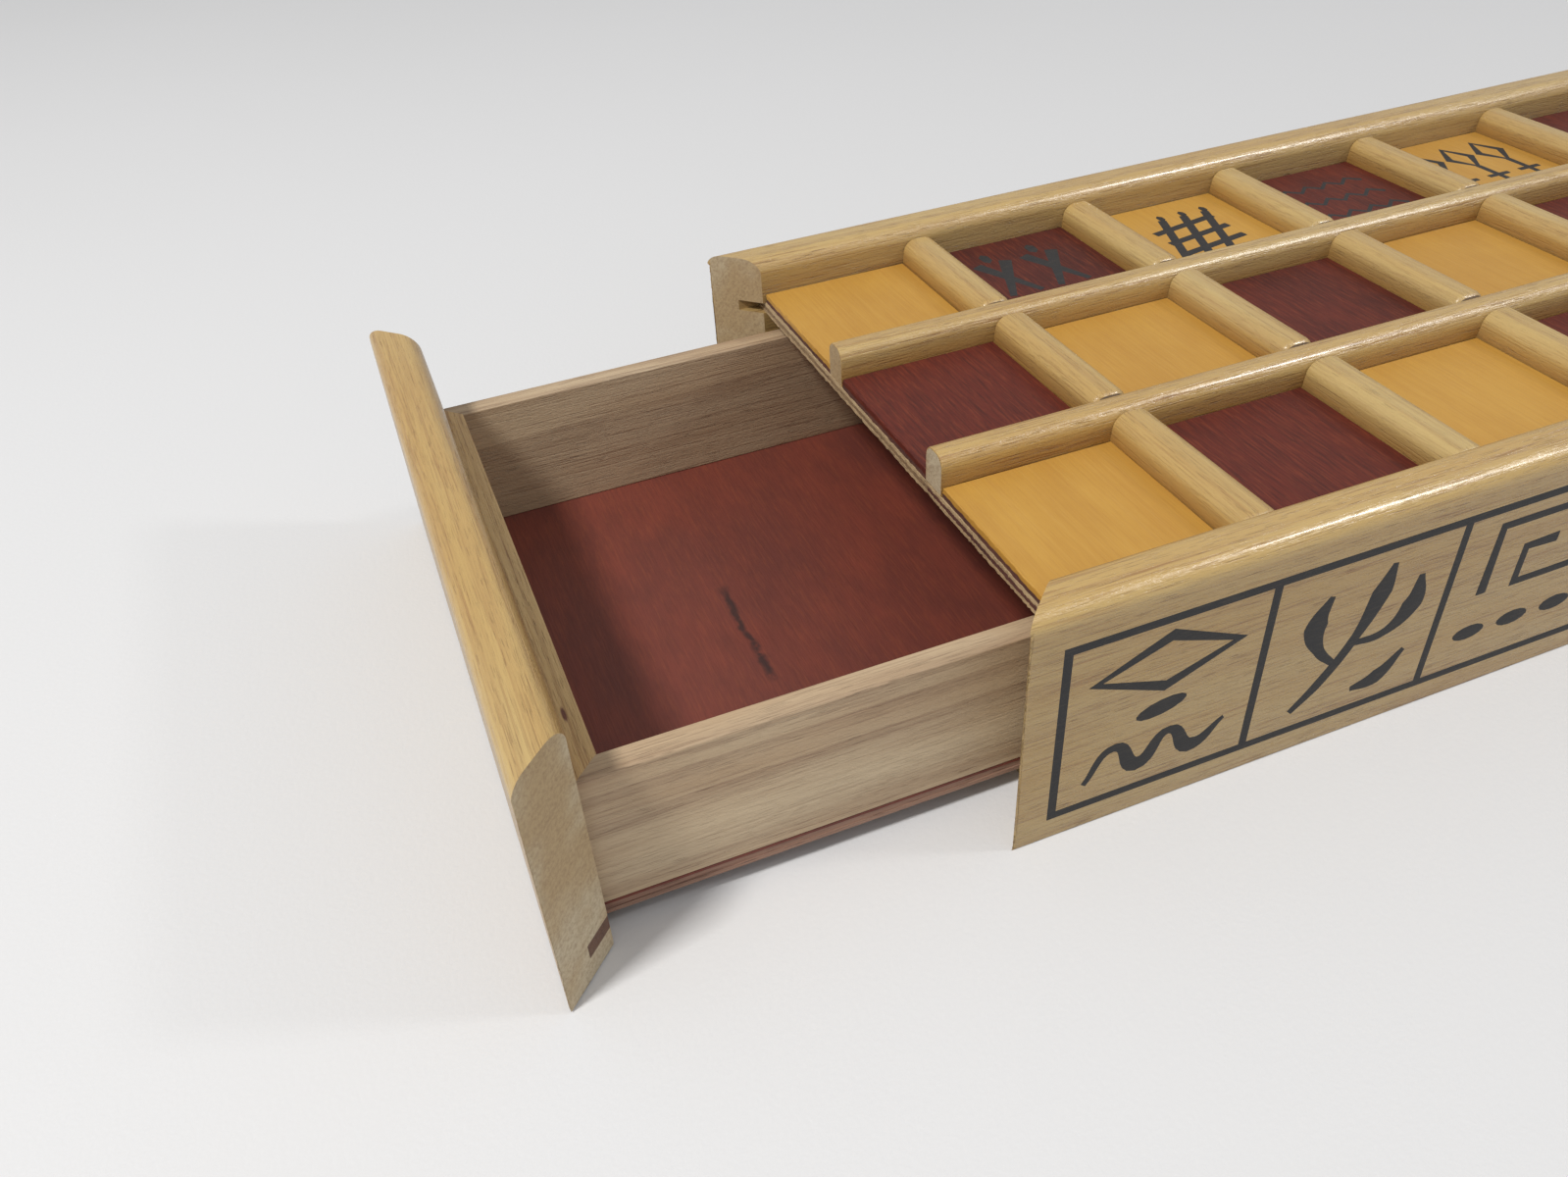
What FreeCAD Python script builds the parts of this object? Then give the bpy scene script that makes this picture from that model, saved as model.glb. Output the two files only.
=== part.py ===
import FreeCAD, Part
import os
import Sketcher

# A long low board-game case with a drawer that slides out of its left end.
# X runs along the case, Y across it and +Z is up. The origin is the middle of
# the case's underside. The drawer is drawn pulled out by drawer_open.

doc = FreeCAD.newDocument("board_case")
sheet = doc.addObject("Spreadsheet::Sheet", "Sizes")

SIZES = {
    # case frame: one moulding, mitred at the corners
    "case_length": 360.0,
    "case_width": 117.5,
    "rail_height": 41.2,
    "rail_thick": 7.8,
    "outer_round": 2.2,
    "inner_round": 2.8,
    # board panel, let into a slot in the rails
    "board_thick": 2.0,
    "board_under": 30.8,
    "slot_depth": 3.6,
    "end_gap": 0.45,
    # bottom panel, glued into a rebate under the rails
    "floor_thick": 3.0,
    # playing squares, cross bars and divider strips
    "square_long": 28.5,
    "square_wide": 30.5,
    "square_thick": 1.75,
    "bar_width": 6.5,
    "bar_height": 6.2,
    "bar_round": 2.0,
    "bar_end_round": 1.3,
    "divider_width": 5.2,
    "divider_height": 6.7,
    "divider_round": 1.5,
    # drawer
    "drawer_open": 62.5,
    "drawer_lift": 0.3,
    "drawer_length": 260.0,
    "drawer_play": 2.7,
    "wall_thick": 3.7,
    "wall_top": 28.4,
    "tray_under": 3.2,
    "tray_thick": 2.2,
    "strip_under": 3.8,
    "strip_thick": 2.5,
}
COLUMNS = 10
ROWS = 3

for number, (alias, value) in enumerate(SIZES.items(), start=1):
    sheet.set(f"A{number}", alias)
    sheet.set(f"B{number}", str(value))
    sheet.setAlias(f"B{number}", alias)
doc.recompute()

# Lengths used again and again, written as spreadsheet expressions.
LENGTH = "Sizes.case_length"
WIDTH = "Sizes.case_width"
THICK = "Sizes.rail_thick"
PITCH = "(Sizes.square_long + Sizes.bar_width)"
BOARD_TOP = "(Sizes.board_under + Sizes.board_thick)"
FRONT_X = f"(-{LENGTH} / 2 - Sizes.drawer_open)"
TRAY_TOP = "(Sizes.tray_under + Sizes.tray_thick)"
TRAY_WIDTH = f"({WIDTH} - 2 * {THICK} - 2 * Sizes.drawer_play)"

nodes = []


def named(thing, label):
    """Give a sub-part its own label and keep it for the export."""
    thing.Label = label
    nodes.append(thing)
    return thing


def place(thing, x="0", y="0", z="0", turn=0.0):
    """Set a sub-part down, turned about Z by some degrees."""
    thing.Placement.Rotation = FreeCAD.Rotation(FreeCAD.Vector(0, 0, 1), turn)
    thing.setExpression("Placement.Base.x", f"{x} * 1 mm")
    thing.setExpression("Placement.Base.y", f"{y} * 1 mm")
    thing.setExpression("Placement.Base.z", f"{z} * 1 mm")


def plane(body, role):
    """The body's own origin plane or axis with this role."""
    for feature in body.Origin.OriginFeatures:
        if feature.Role == role:
            return feature
    raise ValueError(role)


def new_sketch(body, name, role):
    sketch = body.newObject("Sketcher::SketchObject", name)
    sketch.AttachmentSupport = (plane(body, role), "")
    sketch.MapMode = "FlatFace"
    return sketch


def size(sketch, kind, name, expression, drawn, *where):
    """Add a named dimension, as first drawn, and tie it to the spreadsheet."""
    index = sketch.addConstraint(Sketcher.Constraint(kind, *where, drawn))
    sketch.renameConstraint(index, name)
    sketch.setExpression(f"Constraints.{name}", f"{expression} * 1 mm")


def line(start, end):
    return Part.LineSegment(FreeCAD.Vector(*start, 0), FreeCAD.Vector(*end, 0))


def mitred(label, long_side, thickness, height):
    """A straight piece whose ends are both cut at 45 degrees.

    In its own frame the long outer side lies on the X axis and the short
    inner side lies one thickness further in +Y.
    """
    body = doc.addObject("PartDesign::Body", label)
    plan = new_sketch(body, f"{label}_plan", "XY_Plane")
    plan.addGeometry([
        line((-50, 0), (50, 0)),
        line((50, 0), (40, 10)),
        line((40, 10), (-40, 10)),
        line((-40, 10), (-50, 0)),
    ])
    for edge in range(4):
        following = (edge + 1) % 4
        plan.addConstraint(Sketcher.Constraint("Coincident", edge, 2, following, 1))
    plan.addConstraint(Sketcher.Constraint("PointOnObject", 0, 1, -1))
    plan.addConstraint(Sketcher.Constraint("Symmetric", 0, 1, 0, 2, -2))
    plan.addConstraint(Sketcher.Constraint("Symmetric", 2, 1, 2, 2, -2))
    size(plan, "DistanceX", "long_side", long_side, 100.0, 0, 1, 0, 2)
    size(plan, "DistanceY", "thickness", thickness, 10.0, 1, 1, 1, 2)
    size(plan, "DistanceX", "short_side", f"({long_side} - 2 * {thickness})",
         80.0, 2, 2, 2, 1)
    pad = body.newObject("PartDesign::Pad", f"{label}_pad")
    pad.Profile = plan
    pad.setExpression("Length", f"{height} * 1 mm")
    plan.Visibility = False
    doc.recompute()
    return named(body, label)


def groove(body, name, depth, low, high):
    """Plough a slot along the inner side of a mitred piece, from low to high."""
    section = new_sketch(body, f"{name}_section", "YZ_Plane")
    section.addGeometry([
        line((5, 10), (9, 10)),
        line((9, 10), (9, 14)),
        line((9, 14), (5, 14)),
        line((5, 14), (5, 10)),
    ])
    for edge in range(4):
        following = (edge + 1) % 4
        section.addConstraint(Sketcher.Constraint("Coincident", edge, 2, following, 1))
    for edge in (0, 2):
        section.addConstraint(Sketcher.Constraint("Horizontal", edge))
    for edge in (1, 3):
        section.addConstraint(Sketcher.Constraint("Vertical", edge))
    size(section, "DistanceX", "floor_y", f"({THICK} - {depth})", 5.0, -1, 1, 0, 1)
    size(section, "DistanceX", "mouth_y", f"({THICK} + 1)", 9.0, -1, 1, 0, 2)
    size(section, "DistanceY", "low_z", low, 10.0, -1, 1, 0, 1)
    size(section, "DistanceY", "high_z", high, 14.0, -1, 1, 1, 2)
    cut = body.newObject("PartDesign::Pocket", f"{name}_cut")
    cut.Profile = section
    cut.Type = "ThroughAll"
    cut.Midplane = True
    section.Visibility = False
    doc.recompute()
    return cut


def round_edge(body, name, radius, y):
    """Round the long top edge that lies at this distance from the outer side."""
    tip = body.Tip
    top = tip.Shape.BoundBox.ZMax
    chosen = []
    for number, edge in enumerate(tip.Shape.Edges, start=1):
        box = edge.BoundBox
        long_enough = box.XLength > 50
        level = abs(box.ZMin - top) < 0.01 and abs(box.ZMax - top) < 0.01
        if long_enough and level and abs(box.YMin - y) < 0.01 and box.YLength < 0.01:
            chosen.append(f"Edge{number}")
    fillet = body.newObject("PartDesign::Fillet", name)
    fillet.Base = (tip, chosen)
    fillet.setExpression("Radius", f"{radius} * 1 mm")
    doc.recompute()
    return fillet


def moulding(label, long_side, height):
    """One length of the frame moulding, still without its slots."""
    return mitred(label, long_side, THICK, height)


def finish_moulding(body, label):
    """Round over both long top edges once the slots are cut."""
    thick = sheet.get("rail_thick")
    round_edge(body, f"{label}_outer_round", "Sizes.outer_round", 0.0)
    round_edge(body, f"{label}_inner_round", "Sizes.inner_round", float(thick))


def bar_section(body, name, role, width, height, radius):
    """A section that stands on the X axis and has two rounded top corners."""
    section = new_sketch(body, name, role)
    w, top, r = 3.0, 6.0, 1.5
    quarter = 1.5707963267948966
    right = Part.Circle(FreeCAD.Vector(w - r, top - r, 0), FreeCAD.Vector(0, 0, 1), r)
    left = Part.Circle(FreeCAD.Vector(r - w, top - r, 0), FreeCAD.Vector(0, 0, 1), r)
    section.addGeometry([
        line((-w, 0), (w, 0)),
        line((w, 0), (w, top - r)),
        Part.ArcOfCircle(right, 0, quarter),
        line((w - r, top), (r - w, top)),
        Part.ArcOfCircle(left, quarter, 2 * quarter),
        line((-w, top - r), (-w, 0)),
    ])
    joints = [(0, 2, 1, 1), (5, 2, 0, 1)]
    smooth = [(1, 2, 2, 1), (2, 2, 3, 1), (3, 2, 4, 1), (4, 2, 5, 1)]
    for ends in joints:
        section.addConstraint(Sketcher.Constraint("Coincident", *ends))
    for ends in smooth:
        section.addConstraint(Sketcher.Constraint("Tangent", *ends))
    section.addConstraint(Sketcher.Constraint("PointOnObject", 0, 1, -1))
    section.addConstraint(Sketcher.Constraint("Symmetric", 0, 1, 0, 2, -2))
    section.addConstraint(Sketcher.Constraint("Vertical", 1))
    section.addConstraint(Sketcher.Constraint("Vertical", 5))
    section.addConstraint(Sketcher.Constraint("Horizontal", 3))
    size(section, "DistanceX", "width", width, 6.0, 0, 1, 0, 2)
    size(section, "DistanceY", "height", height, 6.0, 0, 2, 3, 1)
    size(section, "Radius", "radius", radius, 1.5, 2)
    return section


def pad_both_ways(body, name, section, length):
    pad = body.newObject("PartDesign::Pad", name)
    pad.Profile = section
    pad.Midplane = True
    pad.setExpression("Length", f"{length} * 1 mm")
    section.Visibility = False
    return pad


def round_ends(body, name, radius):
    """Ease the top of both end faces of a cross bar."""
    tip = body.Tip
    end = tip.Shape.BoundBox.YMax
    straight_top = tip.Shape.BoundBox.ZMax - sheet.get("bar_round")
    chosen = []
    for number, edge in enumerate(tip.Shape.Edges, start=1):
        box = edge.BoundBox
        on_end = box.YLength < 0.01 and abs(abs(box.YMin) - end) < 0.01
        if on_end and box.ZMin > straight_top - 0.01:
            chosen.append(f"Edge{number}")
    fillet = body.newObject("PartDesign::Fillet", name)
    fillet.Base = (tip, chosen)
    fillet.setExpression("Radius", f"{radius} * 1 mm")
    doc.recompute()


def slab(label, length, width, height, x, y, z):
    """A rectangular sheet, placed by its lowest corner."""
    box = doc.addObject("Part::Box", label)
    box.setExpression("Length", f"{length} * 1 mm")
    box.setExpression("Width", f"{width} * 1 mm")
    box.setExpression("Height", f"{height} * 1 mm")
    place(box, x, y, z)
    return named(box, label)


# --- case frame -------------------------------------------------------------

def case_rail(label, long_side, x, y, turn):
    """A fixed rail: slot for the board panel, rebate for the bottom panel."""
    rail = moulding(label, long_side, "Sizes.rail_height")
    groove(rail, f"{label}_slot", "Sizes.slot_depth", "Sizes.board_under", BOARD_TOP)
    groove(rail, f"{label}_rebate", "Sizes.slot_depth", "0", "Sizes.floor_thick")
    finish_moulding(rail, label)
    place(rail, x, y, "0", turn)


case_rail("side_rail_near", LENGTH, "0", f"(-{WIDTH} / 2)", 0)
case_rail("side_rail_far", LENGTH, "0", f"({WIDTH} / 2)", 180)
case_rail("end_rail", WIDTH, f"({LENGTH} / 2)", "0", 90)

PANEL_LENGTH = f"({LENGTH} - 2 * {THICK} - Sizes.end_gap + Sizes.slot_depth)"
PANEL_WIDTH = f"({WIDTH} - 2 * {THICK} + 2 * Sizes.slot_depth)"
PANEL_X = f"(-{LENGTH} / 2 + {THICK} + Sizes.end_gap)"
PANEL_Y = f"(-{PANEL_WIDTH} / 2)"
slab("board_panel", PANEL_LENGTH, PANEL_WIDTH, "Sizes.board_thick",
     PANEL_X, PANEL_Y, "Sizes.board_under")
slab("bottom_panel", PANEL_LENGTH, PANEL_WIDTH, "Sizes.floor_thick",
     PANEL_X, PANEL_Y, "0")

# --- playing field: dividers, squares and cross bars ------------------------

FIELD_LENGTH = f"({LENGTH} - 2 * {THICK} - 2 * Sizes.end_gap)"
FIELD_X = f"(-{FIELD_LENGTH} / 2)"
ROW_STEP = "(Sizes.square_wide + Sizes.divider_width)"

for label, side in (("divider_near", -1), ("divider_far", 1)):
    body = doc.addObject("PartDesign::Body", label)
    section = bar_section(body, f"{label}_section", "YZ_Plane", "Sizes.divider_width",
                          "Sizes.divider_height", "Sizes.divider_round")
    pad_both_ways(body, f"{label}_pad", section, FIELD_LENGTH)
    place(body, "0", f"({side} * {ROW_STEP} / 2)", BOARD_TOP)
    named(body, label)

row_names = ["near", "middle", "far"]
for row in range(ROWS):
    row_centre = f"({row - 1} * {ROW_STEP})"
    for column in range(COLUMNS):
        slab(f"square_{row_names[row]}_{column + 1:02d}", "Sizes.square_long",
             "Sizes.square_wide", "Sizes.square_thick",
             f"({FIELD_X} + {column} * {PITCH})",
             f"({row_centre} - Sizes.square_wide / 2)", BOARD_TOP)

    label = f"cross_bars_{row_names[row]}"
    body = doc.addObject("PartDesign::Body", label)
    body.AllowCompound = True
    section = bar_section(body, f"{label}_section", "XZ_Plane", "Sizes.bar_width",
                          "Sizes.bar_height", "Sizes.bar_round")
    pad_both_ways(body, f"{label}_first", section, "Sizes.square_wide")
    doc.recompute()
    round_ends(body, f"{label}_ends", "Sizes.bar_end_round")
    pattern = body.newObject("PartDesign::LinearPattern", f"{label}_row")
    pattern.TransformMode = "Whole shape"
    pattern.Direction = (plane(body, "X_Axis"), [""])
    pattern.setExpression("Length", f"{COLUMNS - 2} * {PITCH} * 1 mm")
    pattern.Occurrences = COLUMNS - 1
    body.Tip = pattern
    place(body, f"({FIELD_X} + Sizes.square_long + Sizes.bar_width / 2)",
          row_centre, BOARD_TOP)
    named(body, label)

# --- drawer -----------------------------------------------------------------

front = moulding("drawer_front", WIDTH, "(Sizes.rail_height - Sizes.drawer_lift)")
groove(front, "drawer_front_slot", "Sizes.slot_depth",
       "(Sizes.strip_under - Sizes.drawer_lift)",
       "(Sizes.strip_under + Sizes.strip_thick - Sizes.drawer_lift)")
finish_moulding(front, "drawer_front")
place(front, FRONT_X, "0", "Sizes.drawer_lift", -90)

STRIP_LONG = f"({WIDTH} - 2 * {THICK} + 2 * Sizes.slot_depth)"
strip = mitred("slot_strip", STRIP_LONG, "Sizes.slot_depth", "Sizes.strip_thick")
place(strip, f"({FRONT_X} + {THICK} - Sizes.slot_depth)", "0", "Sizes.strip_under", -90)

WALL_HEIGHT = f"(Sizes.wall_top - {TRAY_TOP})"
TRAY_X = f"({FRONT_X} + {THICK})"
WALLS = (
    ("drawer_wall_front", TRAY_WIDTH, TRAY_X, "0", -90),
    ("drawer_wall_back", TRAY_WIDTH, f"({TRAY_X} + Sizes.drawer_length)", "0", 90),
    ("drawer_side_near", "Sizes.drawer_length", f"({TRAY_X} + Sizes.drawer_length / 2)",
     f"(-{TRAY_WIDTH} / 2)", 0),
    ("drawer_side_far", "Sizes.drawer_length", f"({TRAY_X} + Sizes.drawer_length / 2)",
     f"({TRAY_WIDTH} / 2)", 180),
)
for label, long_side, x, y, turn in WALLS:
    wall = mitred(label, long_side, "Sizes.wall_thick", WALL_HEIGHT)
    place(wall, x, y, TRAY_TOP, turn)

slab("drawer_bottom", "Sizes.drawer_length", TRAY_WIDTH, "Sizes.tray_thick",
     TRAY_X, f"(-{TRAY_WIDTH} / 2)", "Sizes.tray_under")

# --- check and export -------------------------------------------------------

doc.recompute()
faults = []
for thing in doc.Objects:
    if "Invalid" in thing.State or "Error" in thing.State:
        faults.append(thing.Name)
for thing in nodes:
    shape = thing.Shape
    if shape.isNull() or not shape.isValid() or shape.Volume <= 0:
        faults.append(thing.Label)
if faults:
    raise RuntimeError(f"faulty objects: {faults}")

os.makedirs("parts", exist_ok=True)
for thing in nodes:
    thing.Shape.exportStep(f"parts/{thing.Label}.step")
    box = thing.Shape.BoundBox
    print(f"{thing.Label:20s} solids {len(thing.Shape.Solids):2d} volume {thing.Shape.Volume:9.1f}"
          f"  x {box.XMin:8.2f} {box.XMax:8.2f}  y {box.YMin:7.2f} {box.YMax:7.2f}"
          f"  z {box.ZMin:6.2f} {box.ZMax:6.2f}")
print(len(nodes), "nodes")
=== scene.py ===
# %% [markdown]
# # A board-game case with a drawer
# The case is a long, low box of blonde wood. Its lid is a board of thirty squares,
# and a drawer for the playing pieces slides out of one end. The measured model is
# loaded first. It stays where it is, and everything below dresses it: each wooden
# piece is modelled again with softened arrises and given its own finish.

import math
import random

import bmesh
import bpy
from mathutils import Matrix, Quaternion, Vector


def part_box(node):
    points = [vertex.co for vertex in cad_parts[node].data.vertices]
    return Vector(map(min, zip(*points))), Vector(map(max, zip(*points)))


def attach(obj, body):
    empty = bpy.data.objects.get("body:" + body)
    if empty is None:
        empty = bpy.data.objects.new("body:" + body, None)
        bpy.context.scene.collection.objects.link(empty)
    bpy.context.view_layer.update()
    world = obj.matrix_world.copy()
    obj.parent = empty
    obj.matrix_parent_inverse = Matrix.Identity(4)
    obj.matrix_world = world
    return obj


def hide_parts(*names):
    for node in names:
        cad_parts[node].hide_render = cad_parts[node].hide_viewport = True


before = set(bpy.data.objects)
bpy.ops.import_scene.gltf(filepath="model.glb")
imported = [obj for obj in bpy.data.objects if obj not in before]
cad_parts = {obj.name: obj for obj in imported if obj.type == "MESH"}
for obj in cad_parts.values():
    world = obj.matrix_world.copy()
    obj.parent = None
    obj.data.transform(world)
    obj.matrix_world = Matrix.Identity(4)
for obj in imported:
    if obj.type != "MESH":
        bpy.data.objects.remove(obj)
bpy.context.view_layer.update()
MM = 0.001

# %% [markdown]
# ## Camera
# The camera stands low at the drawer end and looks down along the near side. A
# 29 mm lens on a 36 mm sensor gives the wide view of a small object seen from
# close by. Its direction is given as two angles, and the last one tips the
# horizon a little, as a hand-held camera does.

# %% Camera
EYE = Vector((-243.57, -154.65, 138.52)) * MM
LOOK_TURN = math.radians(19.15)
LOOK_DOWN = math.radians(38.70)
TIP = math.radians(-4.18)

scene = bpy.context.scene
scene.view_settings.view_transform = "Standard"
bpy.ops.object.camera_add(location=EYE)
camera = bpy.context.object
camera.name = "camera"
camera.data.lens = 28.9
camera.data.sensor_width = 36.0
camera.data.clip_start = 0.01
look = Vector((
    math.sin(LOOK_TURN) * math.cos(LOOK_DOWN),
    math.cos(LOOK_TURN) * math.cos(LOOK_DOWN),
    -math.sin(LOOK_DOWN),
))
camera.rotation_mode = "QUATERNION"
camera.rotation_quaternion = look.to_track_quat("-Z", "Y") @ Quaternion((0, 0, 1), TIP)
scene.camera = camera
print("camera looks along", tuple(round(v, 3) for v in look))

# %% [markdown]
# ## Shader maths
# A pattern such as wood grain is a sum: rings plus fibres minus pores. Written as
# nodes, each plus sign is a Math node and three links. A small class that wraps a
# socket lets the same sum be written as Python, and adds the nodes itself. Colours
# go through Mix and Vector Math nodes, because a Math node would turn them grey.

# %% Shader maths
class Wire:
    """One output socket, which can be added to, multiplied and so on."""

    def __init__(self, tree, socket):
        self.tree, self.socket = tree, socket

    def maths(self, operation, *terms):
        values = dict(enumerate(terms))
        return add_node(self.tree, "ShaderNodeMath", {"operation": operation}, values)

    def __add__(self, other):
        return self.maths("ADD", self, other)

    def __sub__(self, other):
        return self.maths("SUBTRACT", self, other)

    def __rsub__(self, other):
        return self.maths("SUBTRACT", other, self)

    def __mul__(self, other):
        return self.maths("MULTIPLY", self, other)

    __radd__ = __add__
    __rmul__ = __mul__

    def clear_of(self, edge, soft):
        """0 below the edge and 1 above it, with a soft step between."""
        settings = {"interpolation_type": "SMOOTHSTEP"}
        values = {"Value": self, "From Min": edge - soft, "From Max": edge + soft}
        return add_node(self.tree, "ShaderNodeMapRange", settings, values)

    def shifted(self, by):
        return add_node(self.tree, "ShaderNodeVectorMath", {"operation": "ADD"}, {0: self, 1: by})

    def stretched(self, by):
        """The vector times a number for each axis."""
        settings = {"operation": "MULTIPLY"}
        return add_node(self.tree, "ShaderNodeVectorMath", settings, {0: self, 1: by})


def add_node(tree, kind, settings, values, out=0):
    """Add a node: its settings first, then the values or links of its sockets."""
    node = tree.nodes.new(kind)
    for name, value in settings.items():
        setattr(node, name, value)
    for name, value in values.items():
        socket = node.inputs[name]
        if isinstance(value, Wire):
            tree.links.new(value.socket, socket)
        elif socket.type == "RGBA":
            socket.default_value = (*value, 1)
        else:
            socket.default_value = value
    return Wire(tree, node.outputs[out])


MIX_SHARE, MIX_FIRST, MIX_SECOND, MIX_RESULT = 0, 6, 7, 2


def blend(tree, share, first, second, how="MIX"):
    """Mix two colours by a share from 0 to 1."""
    settings = {"data_type": "RGBA", "blend_type": how}
    values = {MIX_SHARE: share, MIX_FIRST: first, MIX_SECOND: second}
    return add_node(tree, "ShaderNodeMix", settings, values, out=MIX_RESULT)


def noise(tree, where, scale, detail=2.0, rough=0.5, warp=0.0):
    """Noise around 0.5 that repeats about once in 1 / scale of its space."""
    values = {"Vector": where, "Scale": scale, "Detail": detail,
              "Roughness": rough, "Distortion": warp}
    return add_node(tree, "ShaderNodeTexNoise", {}, values)


def new_finish(name):
    """An empty material with its Principled shader, and a wire of places in mm."""
    finish = bpy.data.materials.new(name)
    finish.use_nodes = True
    tree = finish.node_tree
    shader = tree.nodes["Principled BSDF"]
    spot = add_node(tree, "ShaderNodeTexCoord", {}, {}, out="Object").stretched((1000,) * 3)
    return finish, tree, shader, spot


def wear(tree, shader, colour, rough, height, depth_mm, strength=0.6):
    """Feed colour, roughness and relief to the shader."""
    tree.links.new(colour.socket, shader.inputs["Base Color"])
    tree.links.new(rough.socket, shader.inputs["Roughness"])
    relief = add_node(tree, "ShaderNodeBump", {},
                      {"Height": height, "Distance": depth_mm * MM, "Strength": strength})
    tree.links.new(relief.socket, shader.inputs["Normal"])


print("shader helpers ready")

# %% [markdown]
# ## Wood
# The mouldings are a pale, open-pored wood. On its long faces it shows faint growth
# bands, fine fibres and short brown dashes, which are pores cut along their length.
# The pattern is solid noise, drawn out twenty-five to fifty times along the grain. A
# board number, kept on each mesh, moves the pattern, so that no two boards are cut from
# the same place. Below their rounded shoulders the rails and the drawer's front are
# painted darker, as shade on their upright faces. The strips and bars are browner at
# their feet: partly stain crept up from the squares, partly painted shade and bounce
# light in the crease. A cut end has a finish of its own, where the pores are dots.

# %% Wood finish
ALONG_X = (0.0, 0.0, 0.0)
ALONG_Y = (0.0, 0.0, math.radians(90))
BOARD_REACH = (61.0, 23.0, 17.0)
PITH = (0, 31, -17)
RING_PITCH = 0.314  # a ring texture of scale 1 repeats at this distance
SAW_LEAN = math.radians(38)
KNOT_BROWN = (0.14, 0.040, 0.018)


def board_shift(tree, spot, turn):
    """Places in mm with the grain along X, moved by the board number."""
    turned = add_node(tree, "ShaderNodeMapping", {}, {"Vector": spot, "Rotation": turn})
    board = add_node(tree, "ShaderNodeAttribute", {"attribute_name": "board"}, {}, out="Fac")
    moves = {axis: board * reach for axis, reach in enumerate(BOARD_REACH)}
    apart = add_node(tree, "ShaderNodeCombineXYZ", {}, moves)
    return turned.shifted(apart), board


def wood(name, turn, pale, warm, pore, sheen=0.38, ring_gap=2.6, ring_depth=0.16,
         pores=0.62, coat=0.25, side=None, knot=None):
    """Growth rings, fibres and pores; where given, a darker lower part (painted shade, with stain
    on strips and bars) and a knot.
    """
    finish, tree, shader, spot = new_finish(name)
    grain, board = board_shift(tree, spot, turn)
    drift = noise(tree, grain.stretched((0.012, 0.09, 0.09)), 1.0, 2.0)
    rings = add_node(
        tree, "ShaderNodeTexWave",
        {"wave_type": "RINGS", "rings_direction": "X", "wave_profile": "SAW"},
        {"Vector": grain.stretched((0.035, 1, 1)).shifted(PITH),
         "Scale": RING_PITCH / ring_gap, "Distortion": 6.0, "Detail": 2.0,
         "Detail Scale": 0.35, "Detail Roughness": 0.5}, out="Fac")
    fibre = noise(tree, grain.stretched((0.045, 2.2, 2.2)), 1.0, 5.0, 0.66)
    line = noise(tree, grain.stretched((0.07, 3.1, 3.1)), 1.0, 2.0, 0.6, 0.1)
    dash = noise(tree, grain.stretched((0.24, 6.4, 6.4)), 1.0, 1.0, 0.5, 0.1)
    glint = noise(tree, grain.stretched((1.0, 3.4, 3.4)), 1.0, 2.0, 0.6)
    thread = line.clear_of(0.60, 0.06) * (0.35 + drift)
    speck = dash.clear_of(0.66, 0.05) * (0.25 + rings * 0.75)
    tint = blend(tree, drift.clear_of(0.5, 0.2), pale, warm)
    dark = (rings.clear_of(0.6, 0.35) * ring_depth + (fibre - 0.45) * 0.85
            + (board - 0.5) * 0.1 + thread * pores * 0.7)
    deep = blend(tree, dark.maths("MAXIMUM", dark, 0.0), tint, pore)
    colour = blend(tree, speck * pores, deep, tuple(c * 0.6 for c in pore))
    # painted shade, and on strips and bars also stain: below a given height the colour is
    # multiplied by a darker tint
    if side is not None:
        level, soft, tint = side
        parts = add_node(tree, "ShaderNodeSeparateXYZ", {}, {"Vector": spot})
        up = Wire(tree, parts.socket.node.outputs["Z"]) + (fibre - 0.5) * 3.0
        colour = blend(tree, 1 - up.clear_of(level, soft), colour, tint, how="MULTIPLY")
    if knot is not None:
        place, reach = knot
        off = spot.shifted(tuple(-c for c in place)).stretched(tuple(1 / r for r in reach))
        gap = add_node(tree, "ShaderNodeVectorMath", {"operation": "LENGTH"}, {0: off}, out="Value")
        colour = blend(tree, 1 - (gap + (fibre - 0.5) * 0.8).clear_of(0.8, 0.3),
                       colour, KNOT_BROWN)
    rough = fibre * 0.15 + speck * 0.2 + (glint - 0.5) * 0.4 + (sheen - 0.07)
    wear(tree, shader, colour, rough, fibre * 0.6 - speck - thread * 0.5 + glint * 0.9, 0.14)
    shader.inputs["Coat Weight"].default_value = coat
    shader.inputs["Coat Roughness"].default_value = 0.16
    return finish


def end_grain(name, pale, dull, pore):
    """A cut end: pores as dots, duller patches, and the fine lines that a saw leaves."""
    finish, tree, shader, spot = new_finish(name)
    dots = noise(tree, spot, 1.9, 3.0, 0.7)
    patch = noise(tree, spot, 0.07, 3.0)
    leaning = add_node(tree, "ShaderNodeMapping", {},
                       {"Vector": spot, "Rotation": (SAW_LEAN, SAW_LEAN, 0.0)})
    saw = noise(tree, leaning.stretched((0.10, 0.10, 2.4)), 1.0, 3.0, 0.6)
    tint = blend(tree, patch.clear_of(0.5, 0.14), pale, dull)
    dark = (dots - 0.42) * 1.5 + (saw - 0.45) * 0.6
    colour = blend(tree, dark.maths("MAXIMUM", dark, 0.0), tint, pore)
    wear(tree, shader, colour, dots * 0.1 + 0.68, dots * -1.0 + saw * 0.5, 0.12)
    return finish


PALE = (0.515, 0.365, 0.148)
WARM = (0.480, 0.310, 0.106)
PORE = (0.25, 0.105, 0.038)
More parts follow.
